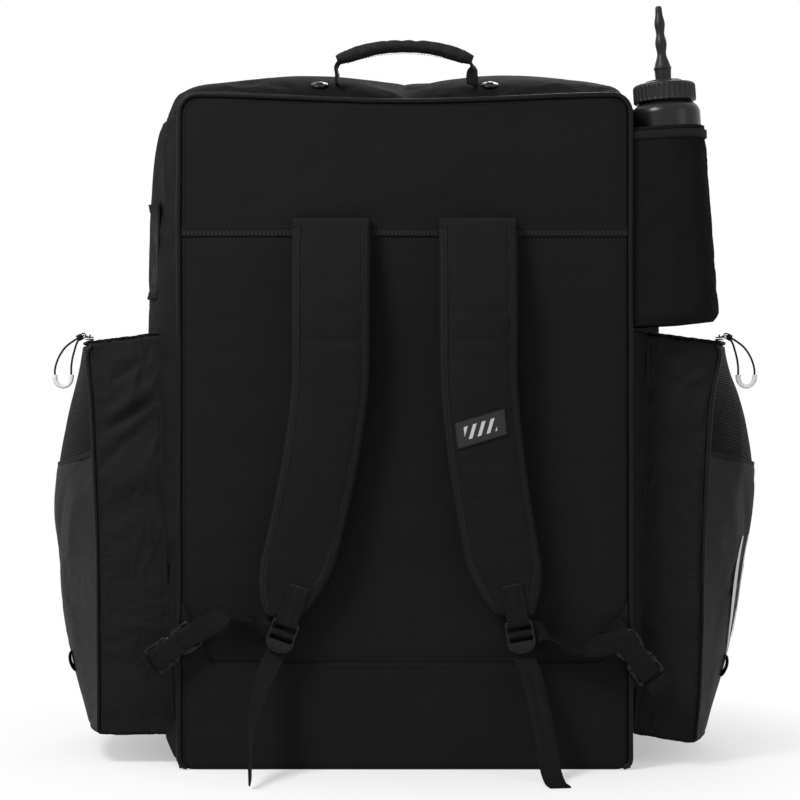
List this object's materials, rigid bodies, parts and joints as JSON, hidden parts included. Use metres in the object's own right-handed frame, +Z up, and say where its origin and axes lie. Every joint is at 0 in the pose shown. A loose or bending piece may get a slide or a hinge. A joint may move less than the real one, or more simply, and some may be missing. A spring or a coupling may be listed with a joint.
{
  "type": "sports equipment backpack",
  "caption": "Tall soft box backpack for goalie equipment, with padded shoulder straps, zipped front door, side pockets, grab handle and a bottle in a sleeve.",
  "frame": {"origin": "middle of the base that the bag stands on", "axes": "+Z up, -Y out of the back panel with the shoulder straps, +X to the side that carries the bottle"},
  "size_m": [0.8654, 0.5831, 0.8871],
  "materials": {
    "ripstop": "black ripstop cloth with a fine grid",
    "pocket_fabric": "smooth black pack cloth",
    "base_fabric": "coated black base cloth",
    "foam": "dark grey foam",
    "board": "plain plastic sheet",
    "zip_tape": "black coil zip on woven tape",
    "slider": "black painted zip slider",
    "piping": "glossy black piping",
    "tape": "black herringbone tape",
    "strap_knit": "black padded knit",
    "webbing": "black woven webbing",
    "buckle": "satin black moulded plastic",
    "mesh": "black mesh",
    "cord": "thin black braided cord",
    "white_sleeve": "white soft plastic tube",
    "sleeve_knit": "black stretch knit",
    "handle_fabric": "black padded cloth",
    "bottle": "glossy black squeeze bottle",
    "cap": "satin black ribbed cap",
    "spout": "soft black plastic"
  },
  "bodies": {
    "bag": {"back_panel": "ripstop", "back_foam": "foam", "frame_sheet": "board", "left_side_panel": "ripstop", "right_side_panel": "ripstop", "top_panel": "ripstop", "base_panel": "base_fabric", "base_board": "board", "front_frame": "ripstop", "door_zip": "zip_tape", "back_piping": "piping", "front_piping": "piping", "seam_tape": "tape", "left_strap_pad": "strap_knit", "left_strap_patch": "webbing", "left_anchor_webbing": "webbing", "left_buckle_female": "buckle", "left_corner_tab": "ripstop", "right_strap_pad": "strap_knit", "right_strap_patch": "webbing", "right_anchor_webbing": "webbing", "right_buckle_female": "buckle", "right_corner_tab": "ripstop", "grab_handle_anchors": "buckle", "side_handle": "webbing", "left_pocket_gusset": "pocket_fabric", "left_pocket_outer": "pocket_fabric", "left_pocket_mesh": "mesh", "left_pocket_top": "pocket_fabric", "left_pocket_zip": "zip_tape", "left_pocket_piping": "piping", "right_pocket_gusset": "pocket_fabric", "right_pocket_outer": "pocket_fabric", "right_pocket_mesh": "mesh", "right_pocket_top": "pocket_fabric", "right_pocket_zip": "zip_tape", "right_pocket_piping": "piping", "bottle_sleeve": "sleeve_knit"},
    "door": {"front_door": "ripstop"},
    "left_door_slider": {"left_door_slider": "slider"},
    "right_door_slider": {"right_door_slider": "slider"},
    "grab_handle": {"grab_handle_sleeve": "handle_fabric", "grab_handle_webbing": "webbing"},
    "left_lock": {"left_ladder_lock": "buckle", "left_strap_tail": "webbing"},
    "right_lock": {"right_ladder_lock": "buckle", "right_strap_tail": "webbing"},
    "left_plug": {"left_buckle_male": "buckle", "left_buckle_webbing": "webbing"},
    "right_plug": {"right_buckle_male": "buckle", "right_buckle_webbing": "webbing"},
    "left_pocket_slider": {"left_pocket_slider": "slider"},
    "right_pocket_slider": {"right_pocket_slider": "slider"},
    "left_puller": {"left_pull_cord": "cord", "left_pull_sleeve": "white_sleeve"},
    "right_puller": {"right_pull_cord": "cord", "right_pull_sleeve": "white_sleeve"},
    "bottle": {"bottle_body": "bottle"},
    "cap": {"bottle_cap": "cap"},
    "spout": {"drinking_spout": "spout"}
  },
  "joints": [
    {"name": "door_hinge", "type": "hinge", "parent": "bag", "child": "door", "pos_m": [0, 0.2105, 0.06], "axis": [-1, 0, 0], "range_deg": [0, 90]},
    {"name": "left_door_zip", "type": "slide", "parent": "bag", "child": "left_door_slider", "axis": [0, 0, -1], "range_m": [0, 0.55]},
    {"name": "right_door_zip", "type": "slide", "parent": "bag", "child": "right_door_slider", "axis": [0, 0, -1], "range_m": [0, 0.55]},
    {"name": "grab_handle_swing", "type": "hinge", "parent": "bag", "child": "grab_handle", "pos_m": [0, -0.188, 0.80256], "axis": [1, 0, 0], "range_deg": [-30, 80]},
    {"name": "left_lock_tilt", "type": "hinge", "parent": "bag", "child": "left_lock", "pos_m": [-0.135, -0.2377, 0.171], "axis": [-0.9397, 0, 0.342], "range_deg": [0, 25]},
    {"name": "right_lock_tilt", "type": "hinge", "parent": "bag", "child": "right_lock", "pos_m": [0.129, -0.2377, 0.171], "axis": [-0.9848, 0, -0.1736], "range_deg": [0, 25]},
    {"name": "left_buckle_release", "type": "slide", "parent": "bag", "child": "left_plug", "axis": [-0.809, 0, -0.5878], "range_m": [0, 0.024]},
    {"name": "right_buckle_release", "type": "slide", "parent": "bag", "child": "right_plug", "axis": [0.6018, 0, -0.7986], "range_m": [0, 0.024]},
    {"name": "left_pocket_zip_run", "type": "hinge", "parent": "bag", "child": "left_pocket_slider", "pos_m": [0.20082, -0.01, 0.49575], "axis": [0, 0, -1], "range_deg": [0, 26]},
    {"name": "right_pocket_zip_run", "type": "hinge", "parent": "bag", "child": "right_pocket_slider", "pos_m": [-0.20082, -0.01, 0.49575], "axis": [0, 0, 1], "range_deg": [0, 26]},
    {"name": "left_puller_swing", "type": "hinge", "parent": "left_pocket_slider", "child": "left_puller", "pos_m": [-0.3785, -0.14927, 0.50105], "axis": [-0.2337, 0.9723, 0], "range_deg": [0, 90]},
    {"name": "right_puller_swing", "type": "hinge", "parent": "right_pocket_slider", "child": "right_puller", "pos_m": [0.3785, -0.14927, 0.50105], "axis": [-0.2337, -0.9723, 0], "range_deg": [0, 90]},
    {"name": "bottle_lift", "type": "slide", "parent": "bag", "child": "bottle", "axis": [-0.0698, 0, 0.9976], "range_m": [0, 0.235]},
    {"name": "cap_turn", "type": "hinge", "parent": "bottle", "child": "cap", "pos_m": [0.305, -0.162, 0.77417], "axis": [-0.0698, 0, 0.9976], "continuous": true},
    {"name": "spout_pull", "type": "slide", "parent": "cap", "child": "spout", "axis": [-0.0698, 0, 0.9976], "range_m": [0, 0.007]}
  ]
}
